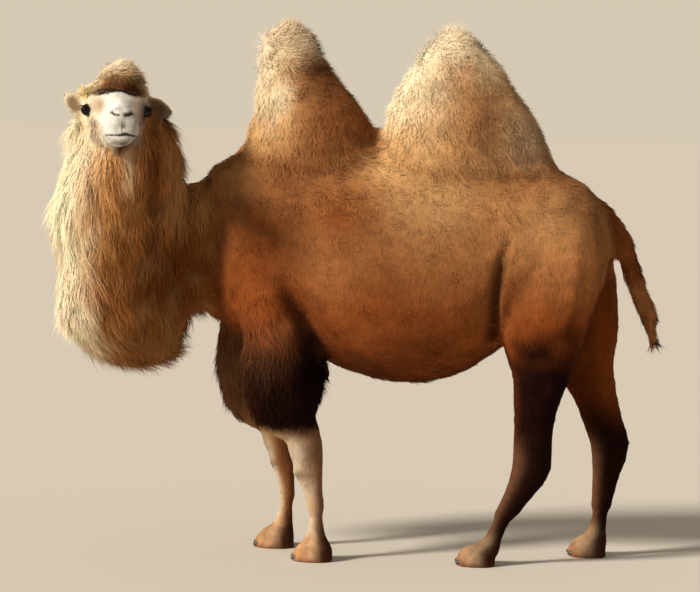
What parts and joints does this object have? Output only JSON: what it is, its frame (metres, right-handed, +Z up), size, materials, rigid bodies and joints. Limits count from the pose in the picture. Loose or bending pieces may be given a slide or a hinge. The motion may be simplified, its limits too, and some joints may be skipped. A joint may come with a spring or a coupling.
{
  "type": "bactrian camel",
  "caption": "Life-size standing two-humped camel with a shaggy winter coat, its head turned to its left, resting on its four feet.",
  "frame": {"origin": "on the ground, under the middle of the whole outline's bounding box", "axes": "+Z is up, the rump is towards +X and the chest towards -X, and the animal's left side and its turned head face -Y"},
  "size_m": [2.4392, 1.1064, 2.144],
  "materials": {
    "wool": "long warm brown wool",
    "pale_wool": "pale golden wool",
    "dark_wool": "long dark brown wool",
    "short_hair": "short flat cream and tan hair",
    "face_hair": "short whitish hair",
    "eye": "wet, very dark brown",
    "nail": "dull horn"
  },
  "bodies": {
    "root": {"trunk": "wool", "hump_front": "pale_wool", "hump_rear": "pale_wool", "neck_lower": "wool", "beard": "wool", "neck_upper": "pale_wool", "head": "face_hair", "forelock": "wool", "eye_left": "eye", "eye_right": "eye", "ear_left": "wool", "ear_right": "pale_wool", "tail": "wool", "tail_tuft": "dark_wool", "foreleg_left_upper": "dark_wool", "foreleg_left_lower": "short_hair", "foreleg_left_foot": "short_hair", "foreleg_left_nail_inner": "nail", "foreleg_left_nail_outer": "nail", "foreleg_right_upper": "dark_wool", "foreleg_right_lower": "short_hair", "foreleg_right_foot": "short_hair", "foreleg_right_nail_inner": "nail", "foreleg_right_nail_outer": "nail", "hindleg_left_upper": "wool", "hindleg_left_lower": "dark_wool", "hindleg_left_foot": "short_hair", "hindleg_left_nail_inner": "nail", "hindleg_left_nail_outer": "nail", "hindleg_right_upper": "wool", "hindleg_right_lower": "dark_wool", "hindleg_right_foot": "short_hair", "hindleg_right_nail_inner": "nail", "hindleg_right_nail_outer": "nail"}
  },
  "joints": []
}
